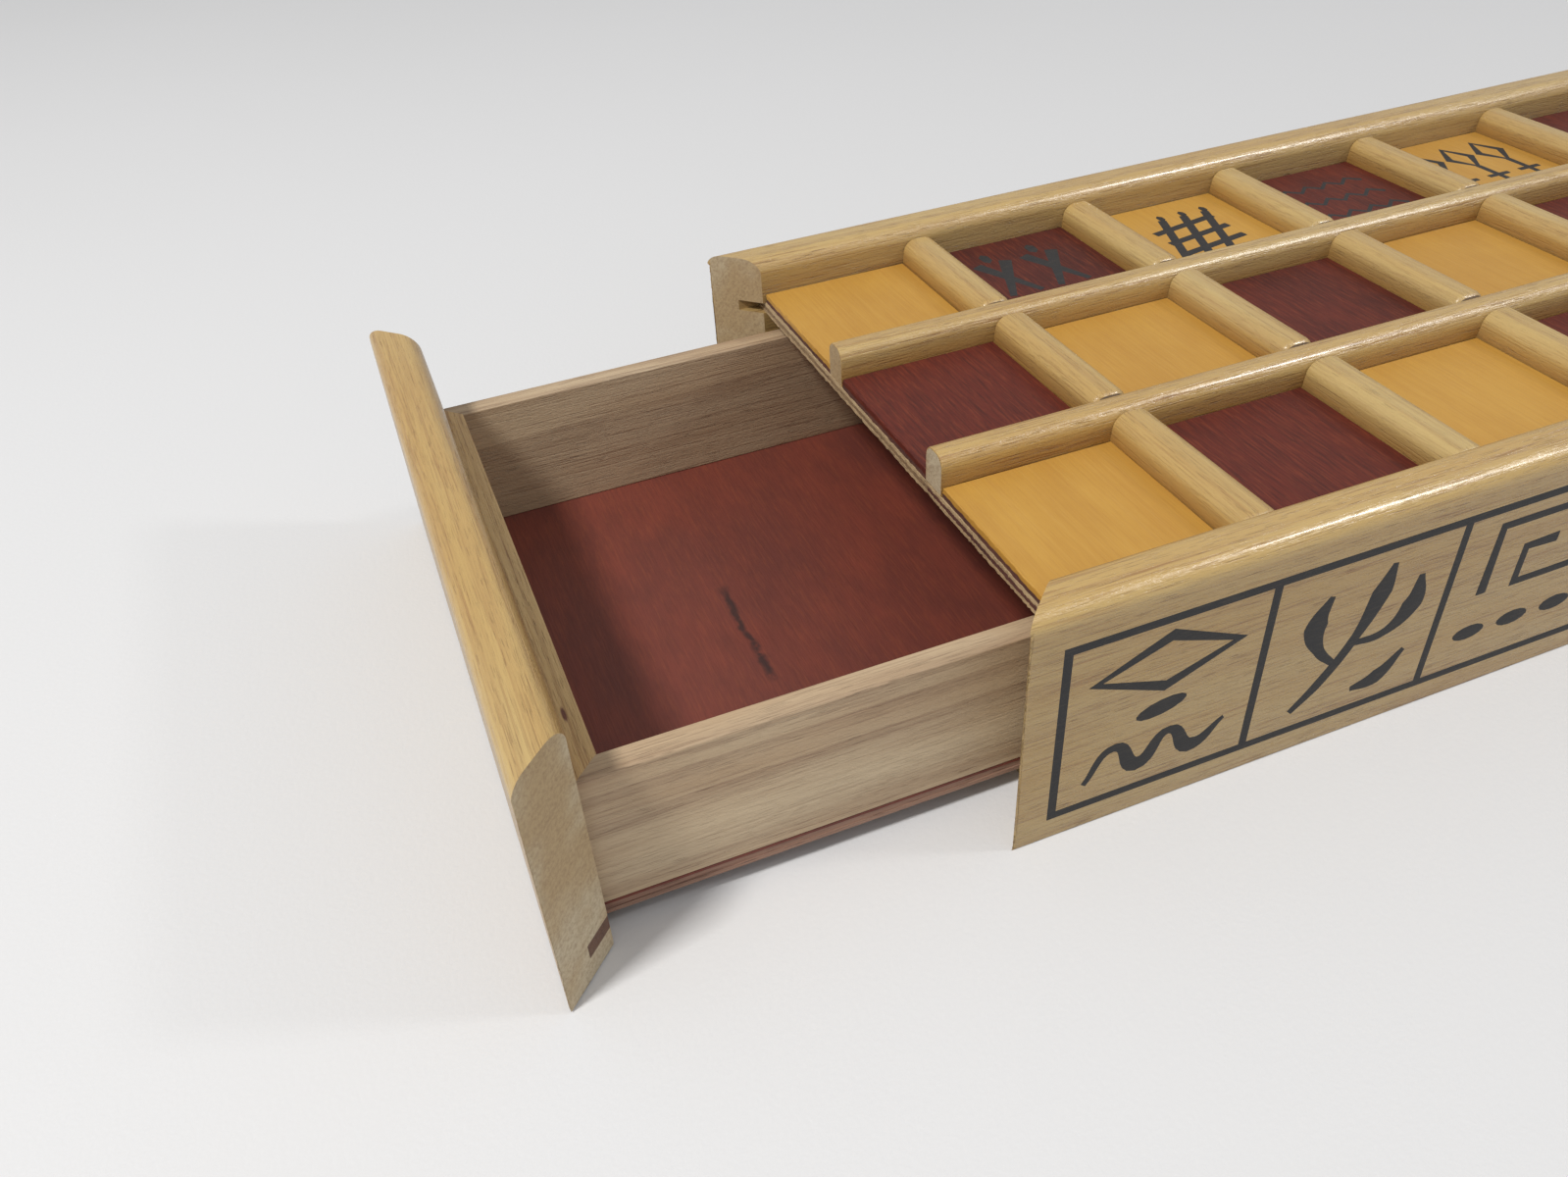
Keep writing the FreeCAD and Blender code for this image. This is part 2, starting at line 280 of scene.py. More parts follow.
# the height and softness in mm of the upper limit of a darkened lower part, then its tint
# painted shade: the rails and the drawer's front are coloured darker below their rounded shoulders
PAINTED_SIDE_SHADE = (38.4, 1.6, (0.80, 0.79, 0.82))
# partly stain from the squares, partly painted shade and reddish bounce light where strips and bars
# meet the squares
STAIN_AND_SHADE_FOOT = (36.0, 1.5, (0.76, 0.64, 0.52))
wood_x = wood("rail_wood_lengthwise", ALONG_X, PALE, WARM, PORE, sheen=0.33, side=PAINTED_SIDE_SHADE)
strip_wood = wood("strip_wood", ALONG_X, PALE, WARM, PORE, sheen=0.33, side=STAIN_AND_SHADE_FOOT)
wood_y = wood("rail_wood_crosswise", ALONG_Y, PALE, WARM, PORE, pores=0.38, side=PAINTED_SIDE_SHADE)
bar_wood = wood("cross_bar_wood", ALONG_Y, (0.51, 0.365, 0.145), (0.48, 0.31, 0.102), PORE,
                pores=0.34, ring_depth=0.1, side=STAIN_AND_SHADE_FOOT)
tray_x = wood("drawer_wood_lengthwise", ALONG_X, (0.55, 0.43, 0.280), (0.42, 0.29, 0.172),
              (0.18, 0.09, 0.05), sheen=0.6, coat=0.0, ring_gap=2.4, ring_depth=0.3, pores=0.42)
cut_end = end_grain("cut_end", (0.53, 0.45, 0.31), (0.43, 0.31, 0.165), (0.20, 0.11, 0.055))
# painted shade: a very dark end-grain finish for the bars' near ends, where a shaded gap shows
painted_gap_shade = end_grain("bar_end_painted_shade", (0.14, 0.085, 0.04), (0.10, 0.058, 0.028), (0.04, 0.022, 0.012))
print("wood finishes ready")

# %% [markdown]
# ## Floor and light
# A plain white cloth lies under everything. The main lamp hangs high on the drawer
# side, so the drawer's front shades the near part of the tray and the upright faces
# lie in soft shade. A weaker lamp over the far end gives the second, fainter shadow.
# A third shows in reflections only: it draws the line of light along the rounded
# arrises. A pale world fills in the rest.

# %% Floor and light
bpy.ops.mesh.primitive_plane_add(size=6.0, location=(0, 0, 0))
floor = bpy.context.object
floor.name = "floor"
cloth, tree, shader, spot = new_finish("white_cloth")
weave = noise(tree, spot, 1.3, 2.0)
fold = noise(tree, spot, 0.006, 2.0)
wear(tree, shader, blend(tree, fold * 0.5 + weave * 0.1, (0.68, 0.68, 0.69), (0.65, 0.65, 0.65)),
     weave * 0.1 + 0.85, weave, 0.15, 0.3)
floor.data.materials.append(cloth)


def soft_lamp(name, place, target, size, watts, colour=(1, 1, 1), gloss_only=False):
    """An area lamp that faces a target, and may show in reflections only."""
    bpy.ops.object.light_add(type="AREA", location=place)
    lamp = bpy.context.object
    lamp.name = name
    lamp.data.shape = "RECTANGLE"
    lamp.data.size, lamp.data.size_y = size
    lamp.data.energy = watts
    lamp.data.color = colour
    lamp.visible_diffuse = not gloss_only
    lamp.rotation_euler = (Vector(target) - Vector(place)).to_track_quat("-Z", "Y").to_euler()


soft_lamp("drawer_side", (-0.78, -0.24, 1.04), (-0.15, 0, 0), (0.17, 0.17), 11.0,
          colour=(1.0, 0.985, 0.96))
soft_lamp("far_end", (0.71, -0.40, 0.79), (-0.1, 0, 0), (0.13, 0.13), 1.8)
soft_lamp("glint", (0.50, -0.28, 0.80), (-0.1, 0, 0), (0.12, 0.12), 5.0, gloss_only=True)
scene.world = bpy.data.worlds.new("studio")
scene.world.use_nodes = True
sky = scene.world.node_tree.nodes["Background"]
sky.inputs["Color"].default_value = (0.98, 0.99, 1.0, 1)
sky.inputs["Strength"].default_value = 0.50
print("floor and lamps ready")

# %% [markdown]
# ## Finer finishes
# The squares are thin plywood, stained honey yellow or wine red. Stain soaks into
# plywood in streaks that run with its face grain, across the case. Cut edges show
# the plies instead: pale veneer outside and a darker core between.

# %% Stained squares
def stained(name, turn, light, deep, streak, glow, sheen, contrast=0.5, lengths=0.05,
            gloss=0.5, marks=None):
    """Veneer with stain that has sunk in along fine streaks, and is thin along others."""
    finish, tree, shader, spot = new_finish(name)
    grain, board = board_shift(tree, spot, turn)
    slow = noise(tree, grain.stretched((0.05, 0.10, 0.10)), 1.0, 4.0, 0.6)
    lines = noise(tree, grain.stretched((lengths, 2.0, 2.0)), 1.0, 4.0, 0.7, 0.3)
    elsewhere = grain.stretched((lengths * 1.6, 2.4, 2.4)).shifted((40, 7, 3))
    bare = noise(tree, elsewhere, 1.0, 3.0, 0.65)
    hair = noise(tree, grain.stretched((0.3, 3.4, 3.4)), 1.0, 2.0)
    body = blend(tree, (slow + (board - 0.5) * 0.25).clear_of(0.5, 0.25), light, deep)
    thin = blend(tree, bare.clear_of(0.58, 0.12) * contrast, body, glow)
    sunk = lines.clear_of(0.56, 0.14) * contrast + hair.clear_of(0.62, 0.06) * contrast * 0.5
    colour = blend(tree, sunk.maths("MINIMUM", sunk, 1.0), thin, streak)
    if marks is not None:
        colour = marks(tree, spot, colour)
    wear(tree, shader, colour, lines * 0.2 + sheen, lines * 0.6 - hair, 0.08, 0.5)
    shader.inputs["Specular IOR Level"].default_value = gloss
    shader.inputs["Coat Weight"].default_value = 0.04
    shader.inputs["Coat Roughness"].default_value = 0.3
    return finish


SPLIT = (-198.6, -5.5)


def split_mark(tree, spot, colour):
    """A dark split in the veneer of the drawer's bottom."""
    wander = (noise(tree, spot, 0.16, 3.0) - 0.5) * 9.0
    parts = add_node(tree, "ShaderNodeSeparateXYZ", {}, {"Vector": spot})
    x, y = parts, Wire(tree, parts.socket.node.outputs[1])
    aside = x.maths("ABSOLUTE", x + wander * 0.5 - SPLIT[0])
    along = x.maths("ABSOLUTE", y - SPLIT[1])
    broken = noise(tree, spot, 0.4, 2.0).clear_of(0.42, 0.1)
    share = (1 - aside.clear_of(0.65, 0.5)) * (1 - along.clear_of(12.0, 3.0)) * broken
    return blend(tree, share * 0.8, colour, (0.02, 0.012, 0.012))


yellow = stained("honey_stain", ALONG_Y, (0.52, 0.285, 0.050), (0.465, 0.24, 0.039),
                 (0.36, 0.16, 0.030), (0.56, 0.33, 0.080), 0.42, 0.22, gloss=0.4)
red = stained("wine_stain", ALONG_Y, (0.116, 0.019, 0.011), (0.072, 0.014, 0.010),
              (0.038, 0.010, 0.008), (0.20, 0.043, 0.018), 0.5, 0.5, lengths=0.13, gloss=0.23)
red_base = stained("wine_stain_drawer", ALONG_Y, (0.188, 0.041, 0.025), (0.126, 0.031, 0.022),
                   (0.085, 0.020, 0.013), (0.26, 0.068, 0.028), 0.50, 0.26, lengths=0.14,
                   gloss=0.35, marks=split_mark)
veneer = wood("sawn_veneer", ALONG_Y, (0.50, 0.37, 0.21), (0.42, 0.28, 0.14),
              (0.2, 0.11, 0.05), sheen=0.7, coat=0.0)
core = wood("red_core", ALONG_X, (0.13, 0.045, 0.03), (0.09, 0.03, 0.022),
            (0.03, 0.012, 0.01), sheen=0.7, coat=0.0)
brown = wood("brown_ply", ALONG_Y, (0.17, 0.085, 0.045), (0.13, 0.06, 0.035),
             (0.06, 0.03, 0.02), sheen=0.6, coat=0.0)
tan = wood("tan_core", ALONG_X, (0.30, 0.20, 0.105), (0.22, 0.135, 0.07),
           (0.10, 0.055, 0.03), sheen=0.7, coat=0.0)
rose = wood("rose_ply", ALONG_X, (0.36, 0.22, 0.155), (0.28, 0.155, 0.105),
            (0.13, 0.06, 0.04), sheen=0.7, coat=0.0)
print("stains ready")

# %% [markdown]
# ## Working with the tools
# Every piece starts as a box of its real size and is then shaped: edges are picked by
# where they lie and rounded, a plane slices off what the saw would, and a strip of a
# face is pushed in for a groove. The helpers below do one of these each. Sizes are in
# millimetres, which is how a joiner would name them.

# %% Modelling helpers
X, Y, Z = 0, 1, 2
ARRIS_CUTS, PANEL_CUTS = 40, 110


def put_away():
    """Leave edit mode, with nothing selected."""
    if bpy.context.object is not None and bpy.context.object.mode != "OBJECT":
        bpy.ops.object.mode_set(mode="OBJECT")
    bpy.ops.object.select_all(action="DESELECT")


def take_up(piece):
    """Make a piece the only one selected, and the active one."""
    put_away()
    piece.select_set(True)
    bpy.context.view_layer.objects.active = piece


def plank(name, low, high):
    """A box between two corners, with its place in its mesh."""
    put_away()
    low, high = Vector(low) * MM, Vector(high) * MM
    bpy.ops.mesh.primitive_cube_add(size=1, location=(low + high) / 2, scale=high - low)
    piece = bpy.context.object
    piece.name = piece.data.name = name
    bpy.ops.object.transform_apply(location=True, rotation=True, scale=True)
    return piece


def pick(piece, kind, wanted):
    """Enter edit mode with only the wanted edges or faces selected."""
    bpy.context.view_layer.objects.active = piece
    bpy.ops.object.mode_set(mode="EDIT")
    bpy.ops.mesh.select_mode(type=kind)
    bpy.ops.mesh.select_all(action="DESELECT")
    mesh = bmesh.from_edit_mesh(piece.data)
    for part in mesh.edges if kind == "EDGE" else mesh.faces:
        corners = [v.co / MM for v in part.verts]
        if wanted(corners):
            part.select_set(True)
    bmesh.update_edit_mesh(piece.data)


def all_at(axis, place, slack=0.02):
    """True for corners that all lie at one place on an axis."""
    return lambda corners: all(abs(c[axis] - place) < slack for c in corners)


def both(*tests):
    """True where every one of the tests is."""
    return lambda corners: all(test(corners) for test in tests)


def square_to(axis):
    """True for an edge that lies at right angles to an axis."""
    return lambda corners: abs(corners[0][axis] - corners[1][axis]) < 0.02


def round_off(piece, wanted, radius, steps):
    """Bevel the wanted edges to a radius, in a number of steps."""
    pick(piece, "EDGE", wanted)
    bpy.ops.mesh.bevel(offset=radius * MM, segments=steps, affect="EDGES", clamp_overlap=False)
    bpy.ops.object.mode_set(mode="OBJECT")


def slice_at(piece, place, facing, drop=False):
    """Cut by a plane; with drop, what lies on its facing side is thrown away."""
    pick(piece, "FACE", lambda corners: True)
    bpy.ops.mesh.bisect(plane_co=Vector(place) * MM, plane_no=facing,
                        use_fill=drop, clear_outer=drop)
    bpy.ops.object.mode_set(mode="OBJECT")


def roughen(piece, wanted, cuts, amount, seed, back=(0, 0, 0)):
    """Break a sawn arris: cut its edges into short lengths, nudge them, and set them back."""
    pick(piece, "EDGE", wanted)
    bpy.ops.mesh.subdivide(number_cuts=cuts)
    bpy.ops.transform.vertex_random(offset=amount * MM, seed=seed)
    bpy.ops.transform.translate(value=Vector(back) * amount * MM)
    bpy.ops.object.mode_set(mode="OBJECT")


def show_cut_ends(piece, finish, facing):
    """Give the faces that face one way, or the other, a cut-end finish."""
    piece.data.materials.append(finish)
    facing = Vector(facing).normalized()
    last = len(piece.data.materials) - 1
    for face in piece.data.polygons:
        if abs(face.normal.dot(facing)) > 0.96:
            face.material_index = last


def dress(piece, body, finishes, nodes=(), board=None):
    """Shade it, give it its finish and board number, and hang it on its body."""
    take_up(piece)
    bpy.ops.object.shade_smooth_by_angle(angle=math.radians(35))
    bpy.ops.object.modifier_add(type="WEIGHTED_NORMAL")
    piece.modifiers[-1].keep_sharp = True
    bpy.ops.object.modifier_apply(modifier=piece.modifiers[-1].name)
    if not piece.data.materials:
        for finish in finishes:
            piece.data.materials.append(finish)
    if board is not None:
        number = piece.data.attributes.new("board", "FLOAT", "POINT")
        number.data.foreach_set("value", [board] * len(piece.data.vertices))
    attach(piece, body)
    if nodes:
        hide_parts(*nodes)


dice = random.Random(9)
print("modelling helpers ready")

# %% [markdown]
# ## Mouldings
# The rails and the drawer's front are cut from one moulding: flat outside, with a
# rounded top, and mitred at the ends. The box is made too long, rounded, grooved, and
# only then sliced at 45 degrees, so that the groove shows on the cut face as it does
# on the real one. The thin outer arris of a mitre chips as it is sawn, so it is
# broken up a little, and set back so that no chip stands proud of the cut.

# %% Mitred boards
SPARE = 15.0
FOOT_EASE = 0.25
CHIP_DEEP, CHIP_BAND = 0.5, 0.7


def mitred_board(name, length, thick, height, rounds, slots=(), chip=0.0, seed=0):
    """A board along X, its outer face at Y 0 and its ends cut at 45 degrees."""
    end = length / 2
    piece = plank(name, (-end - SPARE, 0, 0), (end + SPARE, thick, height))
    for side, radius, steps in ((0, *rounds[0]), (thick, *rounds[1])):
        round_off(piece, both(all_at(Y, side), all_at(Z, height)), radius, steps)
    round_off(piece, both(all_at(Z, 0), square_to(Y)), FOOT_EASE, 2)
    for low, high, depth in slots:
        for level in (low, high):
            if 0 < level < height:
                slice_at(piece, (0, 0, level), (0, 0, 1))
        pick(piece, "FACE", both(
            all_at(Y, thick),
            lambda c: all(low - 0.1 < p.z < high + 0.1 for p in c)))
        bpy.ops.mesh.extrude_region_move(TRANSFORM_OT_translate={"value": (0, -depth * MM, 0)})
        bpy.ops.object.mode_set(mode="OBJECT")
    for way in (1, -1):
        slice_at(piece, (way * end, 0, 0), (way, 1, 0), drop=True)
    if chip:
        slice_at(piece, (0, CHIP_DEEP, 0), (0, 1, 0))
        for way in (1, -1):
            slice_at(piece, (way * (end - CHIP_BAND), 0, 0), (1, 0, 0))
            arris = both(all_at(Y, 0, 0.01), all_at(X, way * end, 0.01))
            roughen(piece, arris, ARRIS_CUTS, chip, seed + way, back=(-2.4 * way, 1.0, 0))
    return piece


def set_down(piece, place, turn=0.0):
    """Turn and move a finished board, and keep its place in its mesh."""
    take_up(piece)
    piece.location = Vector(place) * MM
    piece.rotation_euler = (0, 0, math.radians(turn))
    bpy.ops.object.transform_apply(location=True, rotation=True, scale=True)


def extent(node):
    """The two corners of a node of the measured model, in mm."""
    low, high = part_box(node)
    return low / MM, high / MM


low, high = extent("side_rail_near")
RAIL_THICK, RAIL_HIGH, CASE_LONG = high.y - low.y, high.z - low.z, high.x - low.x
CASE_WIDE = extent("side_rail_far")[1].y - low.y
board_low, board_high = extent("board_panel")
floor_high = extent("bottom_panel")[1]
MOULDED = ((2.2, 7), (2.8, 8))
SLOT_DEEP = 3.6
PANEL_SLOTS = ((board_low.z, board_high.z, SLOT_DEEP), (-1, floor_high.z, SLOT_DEEP))

rails = (
    ("near_rail", "side_rail_near", CASE_LONG, (0, low.y, 0), 0, wood_x),
    ("far_rail", "side_rail_far", CASE_LONG, (0, -low.y, 0), 180, wood_x),
    ("back_rail", "end_rail", CASE_WIDE, (high.x, 0, 0), 90, wood_y),
)
for count, (name, node, length, place, turn, finish) in enumerate(rails):
    rail = mitred_board(name, length, RAIL_THICK, RAIL_HIGH, MOULDED, PANEL_SLOTS,
                        chip=0.16, seed=3 * count + 1)
    rail.data.materials.append(finish)
    for way in (1, -1):
        show_cut_ends(rail, cut_end, (way, 1, 0))
    set_down(rail, place, turn)
    dress(rail, "case", [], [node], 0.13 + 0.31 * count)
    print(name, len(rail.data.polygons), "faces")

# %% [markdown]
# The drawer's front is the same moulding. Its groove would take the case's bottom
# panel; on the drawer a strip of brown plywood fills it.

# %% Drawer front
low, high = extent("drawer_front")
strip_low, strip_high = extent("slot_strip")
front = mitred_board("drawer_moulding", high.y - low.y, high.x - low.x, high.z - low.z, MOULDED,
                     ((strip_low.z - low.z, strip_high.z - low.z, SLOT_DEEP),),
                     chip=0.08, seed=15)
front.data.materials.append(wood_y)
for way in (1, -1):
    show_cut_ends(front, cut_end, (way, 1, 0))
set_down(front, (low.x, 0, low.z), -90)
dress(front, "drawer", [], ["drawer_front"], 0.83)
print("drawer moulding", len(front.data.polygons), "faces")

# %% [markdown]
# ## Board panel
# The panel under the squares is three-ply. Its front edge is an unplaned saw cut, and
# nothing covers it when the drawer is out. Each ply is a thin sheet of its own, so
# that each can break away a little differently.

# %% Board panel
low, high = board_low, board_high
layers = (0.0, 0.62, 1.35, high.z - low.z)
breaks = (0.13, 0.09, 0.11)
RED_PLY_END = -16.0
plies = []
for count in range(3):
    sheet = plank(f"board_ply_{count}", (low.x, low.y, low.z + layers[count]),
                  (high.x, high.y, low.z + layers[count + 1]))
    slice_at(sheet, (low.x + CHIP_BAND, 0, 0), (1, 0, 0))
    slice_at(sheet, (0, RED_PLY_END, 0), (0, 1, 0))
    roughen(sheet, both(all_at(X, low.x), square_to(Z)), PANEL_CUTS, breaks[count], 3 + count)
    if count == 1:
        sheet.data.materials.append(tan)
        sheet.data.materials.append(core)
        for face in sheet.data.polygons:
            face.material_index = int(face.center.y < RED_PLY_END * MM)
    else:
        sheet.data.materials.append(veneer)
    plies.append(sheet)


def join(name, parts):
    """Make several pieces one."""
    put_away()
    for part in parts:
        part.select_set(True)
    bpy.context.view_layer.objects.active = parts[0]
    bpy.ops.object.join()
    whole = bpy.context.object
    whole.name = whole.data.name = name
    return whole


panel = join("board_sheet", plies)
dress(panel, "case", [], ["board_panel"], 0.4)
print("board panel", len(panel.data.polygons), "faces")

# %% [markdown]
# ## Squares
# All thirty squares are one plywood tile. It is modelled once: a plate whose lower
# ply is dark, with its upper arris eased by a sixth of a millimetre. Copies are laid
# down in a chequer, each a hair off true, as glued tiles are.

# %% Squares
ROWS = ("near", "middle", "far")
low, high = extent("square_near_01")
TILE_LONG, TILE_WIDE, TILE_HIGH = high.x - low.x - 0.3, high.y - low.y - 0.24, high.z - low.z
DARK_PLY, TILE_EASE = 0.8, 0.16
tile = plank("tile", (-TILE_LONG / 2, -TILE_WIDE / 2, 0), (TILE_LONG / 2, TILE_WIDE / 2, TILE_HIGH))
slice_at(tile, (0, 0, DARK_PLY), (0, 0, 1))
tile.data.materials.append(yellow)
tile.data.materials.append(core)
for face in tile.data.polygons:
    face.material_index = int(face.center.z < (DARK_PLY - 0.05) * MM)
round_off(tile, all_at(Z, TILE_HIGH), TILE_EASE, 2)


def copy_of(piece, name):
    """A second piece of the same shape, with a mesh of its own."""
    take_up(piece)
    bpy.ops.object.duplicate()
    copy = bpy.context.object
    copy.name = copy.data.name = name
    return copy


for row, row_name in enumerate(ROWS):
    for column in range(1, 11):
        node = f"square_{row_name}_{column:02d}"
        low, high = extent(node)
        is_yellow = (column + (row == 1)) % 2 == 1
        square = copy_of(tile, f"tile_{row_name}_{column:02d}")
        square.data.materials[0] = yellow if is_yellow else red
        if column == 1:
            slice_at(square, (0.6 - TILE_LONG / 2, 0, 0), (1, 0, 0))
            front_edges = both(all_at(X, -TILE_LONG / 2, 0.3), square_to(Z))
            roughen(square, front_edges, ARRIS_CUTS, 0.10, row)
        middle = (low + high) / 2
        x = middle.x + dice.uniform(-0.08, 0.08)
        y = middle.y + dice.uniform(-0.06, 0.06)
        set_down(square, (x, y, low.z), dice.uniform(-0.25, 0.25))
        dress(square, "case", [], [node],
              dice.random())
    print(row_name, "row of squares laid")
bpy.data.objects.remove(tile)

# %% [markdown]
# ## Strips and cross bars
# Two long strips part the three rows, and short bars part the squares in each row.
# Both are planed round on top. A bar's ends are rounded as well, the near one more. The
# near end is painted dark: painted shade for the small gap where a bar meets what lies in front of
# it.

# %% Strips and cross bars
STRIP_ROUND, STRIP_END_EASE = 2.1, 0.22
for count, node in enumerate(("divider_near", "divider_far")):
    low, high = extent(node)
    strip = plank(node.replace("divider", "strip"), low, high)
    round_off(strip, both(all_at(Z, high.z), square_to(Y)), STRIP_ROUND, 8)
    ends = (low.x, high.x)
    round_off(strip, lambda c: all(min(abs(p.x - end) for end in ends) < 0.02 for p in c),
              STRIP_END_EASE, 2)
    strip.data.materials.append(strip_wood)
    show_cut_ends(strip, cut_end, (1, 0, 0))
    dress(strip, "case", [], [node], 0.35 + 0.4 * count)

low, high = extent("cross_bars_near")
BAR_WIDE, BAR_HIGH, BAR_LONG = 6.5, high.z - low.z, high.y - low.y
BARS = 9
BAR_ROUND, NEAR_ROUND, FAR_ROUND = 2.4, 1.5, 0.4
SHOULDER = BAR_HIGH - 2.6
bar = plank("bar", (-BAR_WIDE / 2, -BAR_LONG / 2, 0), (BAR_WIDE / 2, BAR_LONG / 2, BAR_HIGH))
round_off(bar, both(all_at(Z, BAR_HIGH), square_to(X)), BAR_ROUND, 8)
for end, radius in ((-BAR_LONG / 2, NEAR_ROUND), (BAR_LONG / 2, FAR_ROUND)):
    round_off(bar, both(all_at(Y, end), lambda c: min(p.z for p in c) > SHOULDER), radius, 4)
bar.data.materials.append(bar_wood)
bar.data.materials.append(painted_gap_shade)
# painted shade: the near end faces take the dark finish, in place of the shaded gap in front of
# each bar
for face in bar.data.polygons:
    if face.normal.y < -0.7:
        face.material_index = 1
for row_name in ROWS:
    node = f"cross_bars_{row_name}"
    low, high = extent(node)
    step = (high.x - low.x - BAR_WIDE) / (BARS - 1)
    for count in range(BARS):
        piece = copy_of(bar, f"bar_{row_name}_{count + 1:02d}")
        x = low.x + BAR_WIDE / 2 + count * step + dice.uniform(-0.1, 0.1)
        y = (low.y + high.y) / 2 + dice.uniform(-0.05, 0.05)
        set_down(piece, (x, y, low.z), dice.uniform(-0.45, 0.45))
        dress(piece, "case", [], [node], dice.random())
    print(BARS, "bars in the", row_name, "row")
bpy.data.objects.remove(bar)

# %% [markdown]
# ## Drawer
# The drawer is a tray of thin plain boards, mitred at its four corners, on a plywood
# bottom. The plies show as coloured lines under the near side.

# %% Drawer walls and bottom
KNOT = ((-233.0, -36.2, 28.4), (0.36, 1.7, 1.2))
tray_y = wood("drawer_wood_crosswise", ALONG_Y, (0.64, 0.45, 0.205), (0.56, 0.36, 0.145),
              PORE, sheen=0.5, coat=0.05, ring_gap=2.0, knot=KNOT)
low, high = extent("drawer_side_near")
WALL_THICK, WALL_HIGH = high.y - low.y, high.z - low.z
EASED = ((0.3, 3), (0.3, 3))
far_high = extent("drawer_side_far")[1]
TRAY_LONG, TRAY_WIDE = high.x - low.x, far_high.y - low.y
mid_x = (low.x + high.x) / 2
walls = (
    ("tray_side_near", "drawer_side_near", TRAY_LONG, (mid_x, low.y, low.z), 0, tray_x),
    ("tray_side_far", "drawer_side_far", TRAY_LONG, (mid_x, far_high.y, low.z), 180, tray_x),
    ("tray_front", "drawer_wall_front", TRAY_WIDE, (low.x, 0, low.z), -90, tray_y),
    ("tray_back", "drawer_wall_back", TRAY_WIDE, (high.x, 0, low.z), 90, tray_y),
)
for count, (name, node, length, place, turn, finish) in enumerate(walls):
    wall = mitred_board(name, length, WALL_THICK, WALL_HIGH, EASED)
    set_down(wall, place, turn)
    dress(wall, "drawer", [finish], [node], 0.21 + 0.23 * count)

low, high = extent("drawer_bottom")
layers = (0.0, 0.75, 1.75, high.z - low.z)
insets = (0.0, 0.12, 0.05)
plies = []
for count, inset in enumerate(insets):
    sheet = plank(f"bottom_ply_{count}", (low.x, low.y + inset, low.z + layers[count]),
                  (high.x, high.y - inset, low.z + layers[count + 1]))
    sheet.data.materials.append((rose, rose, red_base)[count])
    plies.append(sheet)
base = join("tray_bottom", plies)
dress(base, "drawer", [], ["drawer_bottom"], 0.6)
print("drawer dressed")

# %% [markdown]
# ## Printed frieze
# A black frame is screen-printed along the long sides, parted into eleven cells with
# a plain ornament in each. Print has an exact outline, so it is made as thin flat
# pieces that stand six hundredths of a millimetre proud. The frame is a grid of
# faces whose edges the Wireframe modifier turns to lines of one width.

# %% Ink and frame
INK_PROUD = 0.06
CELLS, CELL_WIDE = 11, 31.2
FRAME_START, FRAME_LOW, FRAME_HIGH = 5.9, 4.5, 34.4
LINE_WIDE = 1.35
BRUSH = 1.25
UPRIGHT = (math.radians(90), 0, 0)
LAID_FLAT = (math.radians(-90), 0, 0)

ink, tree, shader, spot = new_finish("charcoal_ink")
show = noise(tree, spot.stretched((0.35, 3.0, 3.0)), 1.0, 2.0)
thin = noise(tree, spot, 0.25, 2.0)
wear(tree, shader, blend(tree, show.clear_of(0.62, 0.12) * 0.35 + thin * 0.15,
                         (0.022, 0.022, 0.024), (0.070, 0.060, 0.050)),
     show * 0.2 + 0.5, show, 0.05, 0.5)
shader.inputs["Specular IOR Level"].default_value = 0.3


def flatten(piece, axis, thick):
    """Press a piece flat along an axis, to a thickness in mm."""
    take_up(piece)
    share = [1.0, 1.0, 1.0]
    share[axis] = thick * MM / max(piece.dimensions[axis], 1e-9)
    piece.scale = share
    bpy.ops.object.transform_apply(location=True, rotation=True, scale=True)


def printed_frame(name):
    """The frame and its dividers, upright on the XZ plane, its first corner at 0."""
    put_away()
    bpy.ops.mesh.primitive_grid_add(x_subdivisions=CELLS, y_subdivisions=1, size=1,
                                    rotation=UPRIGHT)
    piece = bpy.context.object
    piece.name = piece.data.name = name
    wide, tall = CELLS * CELL_WIDE * MM, (FRAME_HIGH - FRAME_LOW) * MM
    piece.scale = (wide, tall, 1)
    piece.location = (wide / 2, 0, tall / 2)
    bpy.ops.object.transform_apply(location=True, rotation=True, scale=True)
    bpy.ops.object.modifier_add(type="WIREFRAME")
    lines = piece.modifiers[-1]
    lines.thickness = LINE_WIDE * MM
    lines.use_boundary, lines.use_even_offset, lines.use_replace = True, True, True
    lines.offset = 0
    bpy.ops.object.modifier_apply(modifier=lines.name)
    flatten(piece, Y, 2 * INK_PROUD)
    return piece


# %% [markdown]
# ## Brush strokes
# An ornament is a few brush strokes. Each is a curve with a round section whose
# radius swells and tapers from point to point. It is made a mesh and pressed flat,
# which leaves the outline of a stroke. The ornaments are plain shapes: a lozenge, a
# seed, a ripple, a sprig, a key pattern and a ring.

